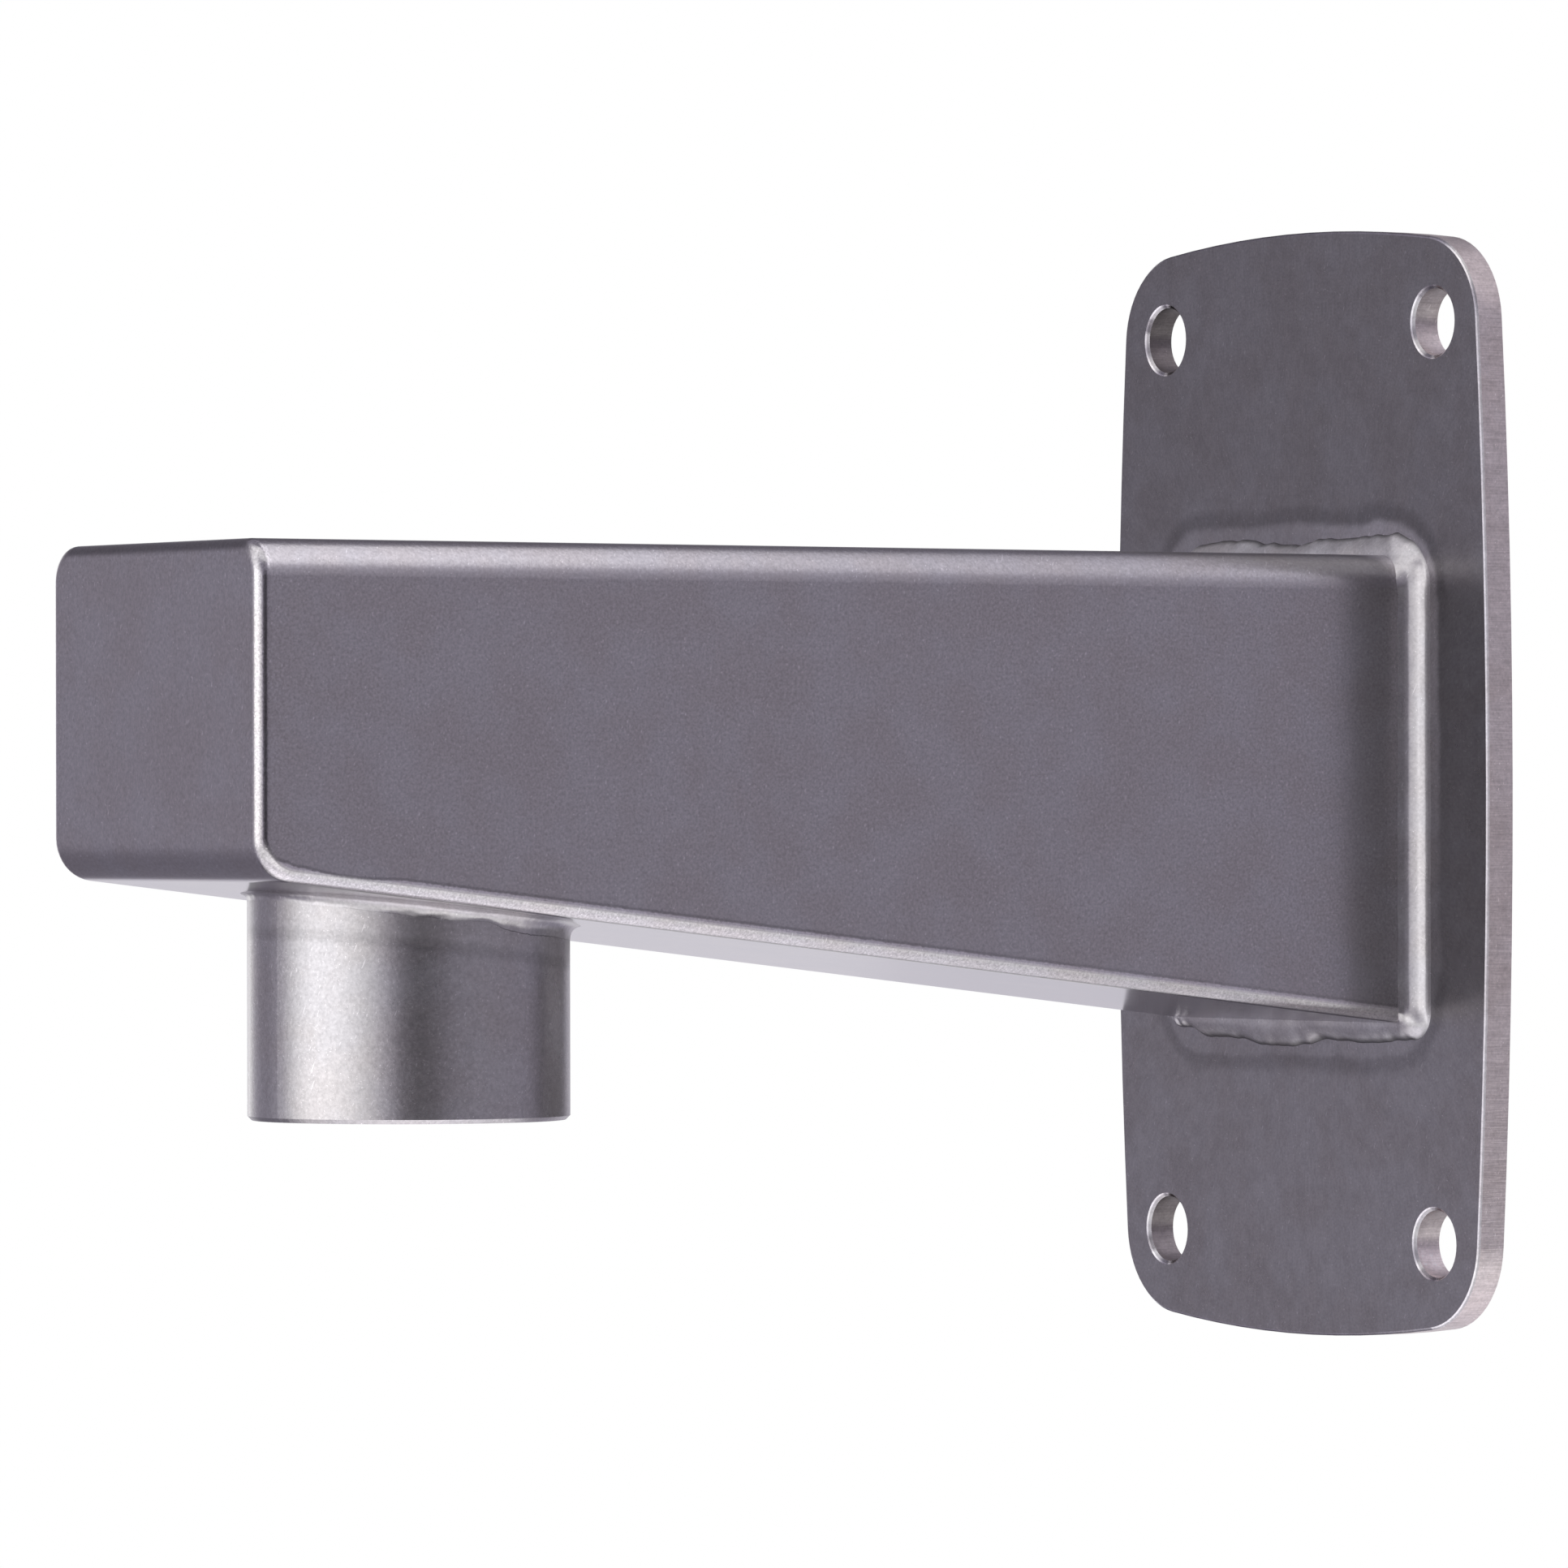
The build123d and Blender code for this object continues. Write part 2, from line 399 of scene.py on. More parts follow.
def seam_with_painted_light(steel, aside, coarse, drift):
    """The seam where the two sheets were fused, with painted light: its thin dark line is partly the fused
    joint and partly painted shade of its groove, up the front it is a painted dark reflection, its pits get
    painted shade, and the flat metal outside it gets a painted highlight.
    """
    tree = steel.tree
    x, _, z = steel.axes()
    inside, rise = outline_distance(steel)
    flank = ease(tree, aside, 0.6, 0.9)
    flat = ease(tree, aside, 0.985, 0.998)
    wandering = 0.7 * MM
    seam = ease(
        tree, x, STRIP_HIGH.x - 6.5 * MM, STRIP_HIGH.x - 2 * MM,
        SEAM - wandering / 2, FRONT_SEAM - wandering / 2,
    )
    from_dip = calc(tree, "ABSOLUTE", minus(tree, x, STRIP_HIGH.x - 19 * MM))
    seam = calc(tree, "ADD", seam, ease(tree, from_dip, 2 * MM, 12 * MM, -0.75 * MM, 0.0))
    seam = calc(tree, "MULTIPLY_ADD", drift, wandering, seam)
    off = calc(tree, "ABSOLUTE", minus(tree, inside, seam))
    # Painted highlight: the flat metal between the seam and the rounded edge is lightened, as if the rounding
    # reached that far
    painted_highlight_side = ease(tree, minus(tree, seam, inside), 0.1 * MM, 0.5 * MM)
    steel.shade(times(tree, painted_highlight_side, flank, flat), 0.6)
    steel.shade(times(tree, flat, minus(tree, coarse, 0.5)), 0.6)
    # Painted shade along the bottom, and up the front a painted dark reflection of the rounded edge
    along_bottom = times(tree, ease(tree, rise, 9 * MM, 6 * MM), ease(tree, x, 0.02, 0.16, 0.3, 0.58))
    painted_front_reflection = times(
        tree, ease(tree, x, STRIP_HIGH.x - 3.5 * MM, STRIP_HIGH.x - 2.5 * MM),
        ease(tree, z, ARM_TOP - 5.5 * MM, ARM_TOP - 7 * MM), 0.8,
    )
    # The dark line is partly the fused joint and partly painted shade of its groove
    line = times(
        tree, ease(tree, off, 0.42 * MM, 0.08 * MM), flank,
        calc(tree, "MAXIMUM", along_bottom, painted_front_reflection),
    )
    # Painted shade in the seam's pits and in a pit at the top front corner
    pits = times(tree, ease(tree, coarse, 0.60, 0.68), ease(tree, off, 1.1 * MM, 0.3 * MM), flank, 0.8)
    corner = (STRIP_HIGH.x - 0.8 * MM, STRIP_HIGH.y - 2.6 * MM, STRIP_HIGH.z - 0.8 * MM)
    mirrored = add_node(tree, "ShaderNodeVectorMath", {0: steel.place}, operation="ABSOLUTE").outputs[0]
    away = add_node(tree, "ShaderNodeVectorMath", {0: mirrored, 1: corner}, operation="DISTANCE")
    shaded_corner_pit = times(tree, ease(tree, away.outputs["Value"], 1.3 * MM, 0.3 * MM), 1.4)
    steel.shade(calc(tree, "MAXIMUM", calc(tree, "MAXIMUM", line, pits), shaded_corner_pit), -0.5)


def ground_edge(steel, aside, up, coarse):
    """The strip's rounded edges, ground bright and speckled, darker towards the wall, with a painted dark
    line on their rim where they turn under.
    """
    tree = steel.tree
    x, _, _ = steel.axes()
    edge = times(tree, ease(tree, aside, 0.06, 0.3), ease(tree, aside, 0.995, 0.95))
    steel.shade(edge, calc(tree, "MULTIPLY_ADD", coarse, 1.2, -0.54))
    steel.shade(edge, ease(tree, x, 0.0, 0.2, -0.32, 0.04))
    steel.roughen(edge, -0.05)
    steel.emboss(times(tree, coarse, edge), 0.02 * MM)
    # Painted shade: a dark line where the rounded edge turns to face down
    rim = times(
        tree, ease(tree, aside, 0.08, 0.14), ease(tree, aside, 0.5, 0.3), ease(tree, up, -0.45, -0.7)
    )
    steel.shade(rim, -0.45)


def folded_bend(steel, aside, up, drift):
    """The channel's two folded bends, a little uneven."""
    tree = steel.tree
    bend = times(tree, ease(tree, aside, 0.995, 0.95), ease(tree, up, 0.98, 0.9))
    steel.shade(times(tree, bend, minus(tree, drift, 0.5)), 0.5)
    steel.emboss(times(tree, drift, bend), 0.03 * MM)


def sheet_steel(finish, name, ground):
    """The folded sheets: satin faces, the fused seam with its painted shade and painted highlight, and the
    strip's ground edges with a painted dark line on their rim, or the channel's bends.
    """
    steel = Steel(name, finish.sheet_colour, finish.sheet_roughness, finish, clouds=0.025)
    tree = steel.tree
    ahead, aside, up = steel.normal()
    aside = calc(tree, "ABSOLUTE", aside)
    coarse = steel.noise(2300.0, 2.0, 0.7)
    drift = steel.noise(900.0, 4.0, 0.75)
    underside = ease(tree, up, -0.9, -0.97)
    steel.roughen(underside, -0.11)
    front = ease(tree, ahead, 0.9, 0.98)
    steel.shade(times(tree, front, minus(tree, drift, 0.5)), 0.45)
    seam_with_painted_light(steel, aside, coarse, drift)
    if ground:
        ground_edge(steel, aside, up, coarse)
    else:
        folded_bend(steel, aside, up, drift)
    return steel.finish()


def painted_bead_halo(steel):
    """Painted light on the plate round the arm's bead, standing in for its reflection of the bead and the
    arm: a little lighter, more towards the top, the near side and beside the arm, with a darker rim of
    painted shade.
    """
    tree = steel.tree
    x, y, z = steel.axes()
    past_y = minus(tree, calc(tree, "ABSOLUTE", y), ARM_HALF_WIDTH - ARM_BEND)
    past_z = calc(tree, "ABSOLUTE", minus(tree, z, ARM_MIDDLE))
    past_z = minus(tree, past_z, (ARM_TOP - ARM_BOTTOM) / 2 - ARM_BEND)
    beside = ease(tree, past_z, 2 * MM, -6 * MM)
    past_y = calc(tree, "MAXIMUM", past_y, 0.0)
    past_z = calc(tree, "MAXIMUM", past_z, 0.0)
    out = minus(tree, diagonal(tree, past_y, past_z), ARM_BEND + 2 * MM)
    out = calc(tree, "MULTIPLY_ADD", beside, -1.4 * MM, out)
    out = calc(tree, "MULTIPLY_ADD", steel.noise(85.0, 3.0), 4 * MM, out)
    # Painted reflection: lighter towards the top, the near side and beside the arm
    light = times(
        tree, ease(tree, out, 7.2 * MM, 5.4 * MM), ease(tree, z, -45 * MM, 45 * MM, 0.06, 0.5),
        ease(tree, y, -10 * MM, 30 * MM, 0.55, 1.35), ease(tree, beside, 0.0, 1.0, 1.0, 1.4),
    )
    # Painted shade: a darker rim beyond the lighter zone
    rim = times(
        tree, ease(tree, out, 6.2 * MM, 7.6 * MM), ease(tree, out, 11 * MM, 8.4 * MM),
        ease(tree, beside, 0.0, 1.0, 0.22, 0.06),
    )
    front = ease(tree, x, PLATE_FACE - 0.3 * MM, PLATE_FACE - 0.1 * MM)
    steel.shade(front, minus(tree, light, rim))


def bolt_bores(steel, edge, up):
    """The walls of the bolt holes, bored by a drill, with painted light: lighter on the near side, lower down
    and where they face up.
    """
    tree = steel.tree
    _, y, z = steel.axes()
    across = minus(tree, calc(tree, "ABSOLUTE", y), BOLT_Y)
    above = minus(tree, calc(tree, "ABSOLUTE", z), BOLT_Z)
    from_bolt = diagonal(tree, across, above)
    bore = times(tree, ease(tree, from_bolt, BOLT_RADIUS + 0.3 * MM, BOLT_RADIUS + 0.1 * MM), edge)
    # Painted light: the bore walls lighter by side, by height and where they face up
    painted_bore_light = calc(tree, "MULTIPLY_ADD", y, 6.5, calc(tree, "MULTIPLY_ADD", z, -1.2, 0.75))
    painted_bore_light = times(tree, painted_bore_light, ease(tree, up, -0.8, 0.5, 0.45, 1.15))
    steel.shade(bore, minus(tree, painted_bore_light, 1.0))


def plate_steel(finish):
    """The wall plate: satin faces painted darker towards the top, a cut edge lined across its thickness, a
    chamfer with a painted highlight, bolt holes bored by a drill with painted light on their walls, and
    painted light round the bead.
    """
    steel = Steel("plate steel", finish.plate_colour, finish.plate_roughness, finish, clouds=0.05)
    tree = steel.tree
    ahead, _, up = steel.normal()
    x, _, z = steel.axes()
    edge = ease(tree, calc(tree, "ABSOLUTE", ahead), 0.5, 0.3)
    lines = add_node(
        tree, "ShaderNodeVectorMath", {0: steel.place, 1: (160.0, 3600.0, 3600.0)}, operation="MULTIPLY"
    ).outputs[0]
    strokes = add_node(tree, "ShaderNodeTexNoise", {"Vector": lines, "Scale": 1.0, "Detail": 3.0})
    strokes = strokes.outputs["Fac"]
    steel.shade(edge, calc(tree, "MULTIPLY_ADD", strokes, 1.1, 0.2))
    steel.roughen(edge, 0.12)
    steel.emboss(times(tree, strokes, edge), 0.03 * MM)
    chamfer = times(tree, ease(tree, ahead, 0.55, 0.62), ease(tree, ahead, 0.9, 0.8))
    # Painted highlight: the front part of the chamfer lightened into a thin bright line
    steel.shade(chamfer, ease(tree, x, PLATE_FACE - 0.3 * MM, PLATE_FACE - 0.18 * MM, 0.3, 1.35))
    steel.roughen(chamfer, -0.1)
    steel.times_tone(ease(tree, steel.noise(420.0, 4.0, 0.7), 0.3, 0.7, 0.93, 1.07))
    bolt_bores(steel, edge, up)
    painted_bead_halo(steel)
    # Painted shade: the plate's face darker towards the top
    face = ease(tree, ahead, 0.9, 0.98)
    steel.shade(face, ease(tree, z, -70 * MM, 70 * MM, 0.02, -0.23))
    return steel.finish(mix_colour(tree, edge, (1.0, 1.0, 1.0), (1.06, 0.99, 0.95)))


def tube_steel(finish):
    """The turned coupling, mottled and scratched, with a faint line left by the welding heat."""
    steel = Steel("tube steel", finish.tube_colour, finish.tube_roughness, finish)
    tree = steel.tree
    x, _, z = steel.axes()
    fall = minus(tree, calc(tree, "MULTIPLY_ADD", x, UNDERSIDE_SLOPE, underside_height(0)), z)
    from_line = calc(tree, "ABSOLUTE", minus(tree, fall, 7.6 * MM))
    steel.times_tone(ease(tree, from_line, 0.4 * MM, 1.8 * MM, 0.84, 1.0))
    steel.roughen(ease(tree, fall, 8.5 * MM, 6.5 * MM), 0.03)
    mottle = steel.noise(700.0, 4.0, 0.7)
    steel.times_tone(ease(tree, mottle, 0.3, 0.7, 0.93, 1.07))
    steel.emboss(mottle, 0.025 * MM)
    steel.shade(steel.marks(0.7 * MM, 0.16 * MM, 0.6), 0.3)
    return steel.finish()


def weld_steel(finish):
    """The weld beads: painted shade along their toes, rougher above and below the arm, and dullest below it;
    painted shade darkens the beads beside and below the arm, most beside it.
    """
    steel = Steel("weld steel", finish.weld_colour, finish.weld_roughness, finish)
    tree = steel.tree
    toe = add_node(tree, "ShaderNodeAttribute", attribute_name="toe").outputs["Fac"]
    level = add_node(tree, "ShaderNodeAttribute", attribute_name="level").outputs["Fac"]
    # Painted shade in the crease along the toes
    steel.shade(toe, -0.82)
    steel.roughen(level, finish.rough_weld - finish.weld_roughness)
    # Painted shade: the beads beside the arm darkest, the one below darker, the one above lightest
    steel.times_tone(ease(tree, level, 0.0, 0.35, 0.89, 0.96))
    steel.times_tone(ease(tree, level, 0.5, 0.85, 0.88, 1.0))
    return steel.finish()


def dress(node, material):
    """Give a solid of the frame its finish."""
    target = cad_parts[node]
    for place in target.material_slots:
        place.material = material


def new_piece(name, bm, material, replaced):
    """Turn a finished bmesh into a piece that rides with the bracket in place of a solid."""
    bmesh.ops.remove_doubles(bm, verts=bm.verts, dist=0.5e-6)
    bmesh.ops.recalc_face_normals(bm, faces=bm.faces)
    mesh = bpy.data.meshes.new(name)
    bm.to_mesh(mesh)
    bm.free()
    mesh.shade_smooth()
    mesh.set_sharp_from_angle(angle=SHARP_ANGLE)
    mesh.materials.append(material)
    piece = bpy.data.objects.new(name, mesh)
    bpy.context.scene.collection.objects.link(piece)
    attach(piece, "root")
    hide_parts(replaced)
    return piece


def polyline(bm, points):
    """A chain of edges through the points."""
    verts = [bm.verts.new(point) for point in points]
    return verts + [bm.edges.new(pair) for pair in zip(verts, verts[1:])]


def lathe(bm, points, centre, segments):
    """Spin a chain of points once round the upright axis through centre."""
    bmesh.ops.spin(
        bm, geom=polyline(bm, points), cent=centre, axis=(0, 0, 1), dvec=(0, 0, 0),
        angle=math.tau, steps=segments, use_merge=True,
    )


def trim(bm, point, normal):
    """Cut everything beyond a plane away."""
    geometry = bm.verts[:] + bm.edges[:] + bm.faces[:]
    bmesh.ops.bisect_plane(bm, geom=geometry, plane_co=point, plane_no=normal, clear_outer=True)


def open_loops(bm):
    """The open edges, grouped into loops."""
    left = {edge for edge in bm.edges if edge.is_boundary}
    loops = []
    while left:
        loop = [left.pop()]
        for edge in loop:
            joined = {near for vert in edge.verts for near in vert.link_edges} & left
            left -= joined
            loop.extend(joined)
        loops.append(loop)
    return loops


def mean_height(loop):
    """The mean height of a loop of edges."""
    heights = [vert.co.z for edge in loop for vert in edge.verts]
    return sum(heights) / len(heights)


def threaded_bore(sizes):
    """One tooth of the thread, spun up the bore as a screw and trimmed at both ends, and its top's height."""
    bm = bmesh.new()
    pitch = sizes.pitch
    start = COUPLING_MOUTH - pitch
    top = underside_height(COUPLING_LOW.x) - sizes.thread_gap
    turns = math.ceil((top - start) / pitch) + 1
    crest, root = sizes.minor_radius, sizes.major_radius
    tooth = ((0.0, crest), (0.12, crest), (0.5, root), (0.62, root), (1.0, crest))
    points = [(COUPLING_AXIS + radius, 0, start + along * pitch) for along, radius in tooth]
    bmesh.ops.spin(
        bm, geom=polyline(bm, points), cent=(COUPLING_AXIS, 0, 0), axis=(0, 0, 1),
        dvec=(0, 0, pitch / sizes.segments), angle=math.tau * turns, steps=sizes.segments * turns,
    )
    bmesh.ops.remove_doubles(bm, verts=bm.verts, dist=1e-6)
    trim(bm, (COUPLING_AXIS, 0, COUPLING_MOUTH + sizes.mouth_lead), (0, 0, -1))
    trim(bm, (COUPLING_AXIS, 0, top), (0, 0, 1))
    return bm, top


def coupling_mesh(sizes):
    """The coupling: a turned tube with its thread, its top cut to the slope of the arm."""
    bm, thread_top = threaded_bore(sizes)
    centre = (COUPLING_AXIS, 0, 0)
    above = COUPLING_HIGH.z + 5 * MM

    def at(radius, height):
        return (COUPLING_AXIS + radius, 0, height)

    lathe(bm, [at(sizes.minor_radius, thread_top), at(sizes.minor_radius, above)], centre, sizes.segments)
    outside = [
        at(sizes.major_radius, COUPLING_MOUTH),
        at(COUPLING_RADIUS - sizes.rim_chamfer, COUPLING_MOUTH),
        at(COUPLING_RADIUS, COUPLING_MOUTH + sizes.rim_chamfer),
        at(COUPLING_RADIUS, above),
    ]
    lathe(bm, outside, centre, sizes.segments)
    trim(bm, (COUPLING_AXIS, 0, underside_height(COUPLING_AXIS)), (-UNDERSIDE_SLOPE, 0, 1))
    mouth, low_thread, high_thread, low_bore, first_top, second_top = sorted(open_loops(bm), key=mean_height)
    bmesh.ops.bridge_loops(bm, edges=mouth + low_thread)
    bmesh.ops.bridge_loops(bm, edges=high_thread + low_bore)
    bmesh.ops.bridge_loops(bm, edges=first_top + second_top)
    return bm


def rolled_grid(along, around, place):
    """A grid rolled up into a closed ring: place(u, v) gives each point, its painted shade at the toe, and
    its roughness share, which also sets the beads' painted shade.
    """
    bm = bmesh.new()
    bmesh.ops.create_grid(bm, x_segments=along, y_segments=around, size=0.5)
    toe = bm.verts.layers.float.new("toe")
    level = bm.verts.layers.float.new("level")
    for vert in bm.verts:
        vert.co, vert[toe], vert[level] = place(vert.co.x + 0.5, vert.co.y + 0.5)
    return bm


# Sections of a bead's face as (share of the base leg, share of the wall leg), from the base toe up
SIDE_FACE = (
    (1.0, 0.0), (0.870, 0.028), (0.794, 0.058), (0.724, 0.095), (0.594, 0.183), (0.494, 0.258),
    (0.377, 0.378), (0.245, 0.535), (0.182, 0.634), (0.108, 0.771), (0.0, 1.0),
)
ROUND_FACE = ((1.0, 0.0), (0.95, 0.14), (0.87, 0.33), (0.74, 0.53), (0.55, 0.74), (0.30, 0.91), (0.0, 1.0))
HOLLOW_FACE = (
    (1.0, 0.0), (0.85, 0.008), (0.69, 0.034), (0.54, 0.088), (0.385, 0.19), (0.23, 0.373), (0.115, 0.60),
    (0.0, 1.0),
)

# The part of a bead's section that is its face; the rest is buried to this depth in the metal
FACE_SHARE = 0.75
BURIED = 0.3 * MM


def smooth_through(points, t):
    """A point of the smooth curve through the points of a face, for t from 0 to 1."""
    last = len(points) - 1
    index = min(int(t * last), last - 1)
    s = t * last - index
    near = [points[min(max(k, 0), last)] for k in range(index - 1, index + 3)]
    return [
        b + s / 2 * (c - a + s * (2 * a - 5 * b + 4 * c - d + s * (3 * (b - c) + d - a)))
        for a, b, c, d in zip(*near)
    ]


def bead_section(v, base_leg, wall_leg, faces, toe_shift):
    """A point of a bead's section as (out along the base, up the wall), for v from 0 to 1.

    The face blends the named faces by their shares, and toe_shift moves its base toe alone.
    The rest of the section is buried in the metal."""
    if v <= FACE_SHARE:
        out = up = 0.0
        for points, part in faces:
            a, b = smooth_through(points, v / FACE_SHARE)
            out, up = out + part * a, up + part * b
        return out * base_leg + toe_shift * out ** 4, up * wall_leg
    t = (v - FACE_SHARE) / (1 - FACE_SHARE)
    toe = base_leg + toe_shift
    corners = ((0.0, wall_leg), (-BURIED, wall_leg), (-BURIED, -BURIED), (toe, -BURIED), (toe, 0.0))
    part = min(int(t * 4), 3)
    share = t * 4 - part
    (x0, y0), (x1, y1) = corners[part], corners[part + 1]
    return x0 + (x1 - x0) * share, y0 + (y1 - y0) * share


def swell(v):
    """How far a ripple lifts the section there: most in the middle of the face, and nothing at its toes."""
    return max(0.0, math.sin(math.pi * min(v / FACE_SHARE, 1.0)))


def between(points, place):
    """A value eased between neighbours of a short list of (place, value)."""
    for (a, first), (b, last) in zip(points, points[1:]):
        if place <= b:
            t = min(max((place - a) / (b - a), 0.0), 1.0)
            return first + (last - first) * t * t * (3 - 2 * t)
    return points[-1][1]


class ArmOutline:
    """The arm's outline on the plate, followed from the middle of the bottom."""

    def __init__(self, top_corner, low_corner, distance):
        w = ARM_HALF_WIDTH
        self.runs = []
        corners = (
            ((w, ARM_BOTTOM), low_corner, -90), ((w, ARM_TOP), top_corner, 0),
            ((-w, ARM_TOP), top_corner, 90), ((-w, ARM_BOTTOM), low_corner, 180),
        )
        start = Vector((0, ARM_BOTTOM))
        here = start
        for (y, z), radius, turn in corners:
            inward = Vector((-math.copysign(radius, y), -math.copysign(radius, z - ARM_MIDDLE)))
            centre = Vector((y, z)) + inward
            first, last = (
                centre + radius * Vector((math.cos(math.radians(end)), math.sin(math.radians(end))))
                for end in (turn, turn + 90)
            )
            self.runs.append(((first - here).length, here, first, None, turn))
            self.runs.append((math.pi / 2 * (radius + distance), first, last, (centre, radius), turn))
            here = last
        self.runs.append(((start - here).length, here, start, None, -90))
        self.length = sum(run[0] for run in self.runs)

    def at(self, u):
        """The point of the outline and its outward normal, for u from 0 to 1."""
        s = min(max(u, 0.0), 1.0) * self.length
        for index, (length, first, last, arc, start) in enumerate(self.runs):
            if s <= length or index == len(self.runs) - 1:
                share = min(s / length, 1.0)
                turn = math.radians(start + 90 * share) if arc else math.radians(start)
                normal = Vector((math.cos(turn), math.sin(turn)))
                point = arc[0] + arc[1] * normal if arc else first.lerp(last, share)
                return point, normal
            s -= length
        raise RuntimeError("the arm's outline has no point there")


def wave(*place):
    """Smooth noise from -1 to 1 that is the same every run."""
    return noise.noise(Vector(place))


# The bead's loop follows a circle of this radius through the noise, so that its ends meet
LOOP_NOISE = 8

# Width of the plate bead above and below the arm, from the far side to the near side, in millimetres
TOP_TOE = (
    (-39, 1.6), (-36, 1.9), (-32, 3.6), (-25, 4.1), (-16, 4.0), (-10, 3.3), (1, 2.7), (9, 3.7), (22, 3.8),
    (31, 4.3), (39, 4.2),
)
LOW_TOE = (
    (-39, 1.4), (-35, 1.8), (-31, 3.4), (-19, 3.6), (-11, 4.8), (-2, 4.9), (4, 4.3), (9, 3.4), (25, 3.8),
    (37, 3.0), (39, 3.4),
)

# Lumps and a dent on the plate bead: y, z, reach and height in millimetres
LUMPS = (
    (40.0, 42.4, 2.4, 0.35), (40.6, -46.2, 2.6, 0.65), (-37.4, -47.4, 2.3, 0.7), (-37.2, -47.3, 1.0, -0.8),
)

# Depth of the coupling bead down the tube, by degrees from the front towards the near side
TUBE_TOE = (
    (0, 1.5), (30, 2.1), (53, 2.5), (74, 2.6), (88, 2.2), (98, 3.3), (108, 3.5), (120, 3.2), (140, 3.1),
    (200, 2.6), (290, 2.0), (325, 1.4), (360, 1.5),
)

# How dark the coupling bead's toe is, by the same degrees
TUBE_SHADOW = (
    (0, 0.0), (28, 0.05), (41, 0.45), (88, 0.45), (97, 1.0), (115, 1.0), (127, 0.5), (200, 0.3), (360, 0.0),
)

# How wide the coupling bead lies on the underside, as a share of its leg, by the same degrees
UNDERSIDE_SPREAD = ((0, 0.7), (60, 1.0), (200, 1.0), (325, 0.6), (360, 0.7))


def plate_weld_mesh(welds):
    """The bead all round the arm, hollow and smooth beside it, fuller and uneven above and below."""
    outline = ArmOutline(welds.top_corner, welds.low_corner, welds.side_leg)

    def place(u, v):
        root, normal = outline.at(u)
        loop = (math.cos(math.tau * u) * LOOP_NOISE, math.sin(math.tau * u) * LOOP_NOISE)
        level = normal.y ** 2
        toes = TOP_TOE if normal.y > 0 else LOW_TOE
        uneven = 1.0 if normal.y > 0 else 0.6
        leg = welds.side_leg * (1 - level) + between(toes, root.x / MM) * MM * level
        leg *= 1 + 0.04 * wave(loop[0], loop[1], 3)
        toe_shift = (0.05 + 0.3 * level * uneven) * MM * wave(loop[0] * 2.4, loop[1] * 2.4, 9)
        arm_leg = welds.arm_leg * (1 - 0.27 * level) * (1 + 0.08 * wave(loop[0], loop[1], 31))
        ripple = (0.04 + 0.11 * level) * uneven * MM * wave(loop[0] * 2, loop[1] * 2, 3 * v)
        faces = ((SIDE_FACE, 1 - level), (ROUND_FACE, level))
        out, up = bead_section(v, leg, arm_leg, faces, toe_shift)
        y, z = root.x + normal.x * out, root.y + normal.y * out
        for lump_y, lump_z, reach_mm, height in LUMPS:
            away = math.hypot(y / MM - lump_y, z / MM - lump_z) / reach_mm
            ripple += height * MM * math.exp(-away * away * 2)
        lift = ripple * swell(v) * 0.7
        z += UNDERSIDE_SLOPE * up * min(normal.y, 0.0) ** 2
        # Painted shade in the crease along the toe above and below the arm
        toe = max(0.0, 1 - (leg + toe_shift - out) / welds.toe_shadow) ** 1.4 * min(1.0, level * 1.3)
        if v > FACE_SHARE:
            toe = min(1.0, level * 1.3) * max(0.0, 1 - (1 - v) * 12)
        point = Vector((PLATE_FACE + up + lift, y + normal.x * lift, z + normal.y * lift))
        # The roughness share also sets the painted shade that darkens the beads beside and below the arm
        roughness_and_shade = level if normal.y > 0 else level / 2
        return point, toe, roughness_and_shade

    return rolled_grid(along=900, around=40, place=place)


def coupling_weld_mesh(welds):
    """The bead round the coupling on the sloping underside."""

    def place(u, v):
        turn = math.tau * u
        radial = Vector((math.cos(turn), math.sin(turn), 0))
        root = Vector((COUPLING_AXIS, 0, 0)) + COUPLING_RADIUS * radial
        root.z = underside_height(root.x)
        outward = Vector((radial.x, radial.y, UNDERSIDE_SLOPE * radial.x)).normalized()
        base_leg = welds.coupling_leg * (1 + 0.12 * wave(radial.x * 3, radial.y * 3, 5))
        base_leg *= between(UNDERSIDE_SPREAD, math.degrees(turn))
        tube_leg = between(TUBE_TOE, math.degrees(turn)) * MM
        tube_leg *= (
            1 + 0.05 * wave(radial.x * 22, radial.y * 22, 15) + 0.03 * wave(radial.x * 70, radial.y * 70, 7)
        )
        ripple = 0.1 * MM * wave(radial.x * 9, radial.y * 9, 2 * v)
        down, out = bead_section(v, tube_leg, base_leg, ((HOLLOW_FACE, 1.0),), 0.0)
        # Painted shade along the bead's toe on the tube, scaled by TUBE_SHADOW
        toe = max(0.0, 1 - v / FACE_SHARE / 0.08) if v <= FACE_SHARE else max(0.0, 1 - (1 - v) * 12)
        point = root + outward * (out + ripple * swell(v)) - Vector((0, 0, down))
        return point, toe * between(TUBE_SHADOW, math.degrees(turn)), 0.0

    return rolled_grid(along=720, around=32, place=place)


class BRACKET_OT_finish_plate(Operator):
    """Give the wall plate its satin face and its cut edge"""

    bl_idname = "bracket.finish_plate"
    bl_label = "Finish Wall Plate"

    def execute(self, context):
        dress("wall_plate", plate_steel(context.scene.bracket_steel))
        return {"FINISHED"}


class BRACKET_OT_finish_arm(Operator):
    """Give the two folded sheets of the arm their satin face"""

    bl_idname = "bracket.finish_arm"
    bl_label = "Finish Arm"

    def execute(self, context):
        finish = context.scene.bracket_steel
        dress("arm_channel", sheet_steel(finish, "channel steel", False))
        dress("front_and_underside_strip", sheet_steel(finish, "strip steel", True))
        return {"FINISHED"}


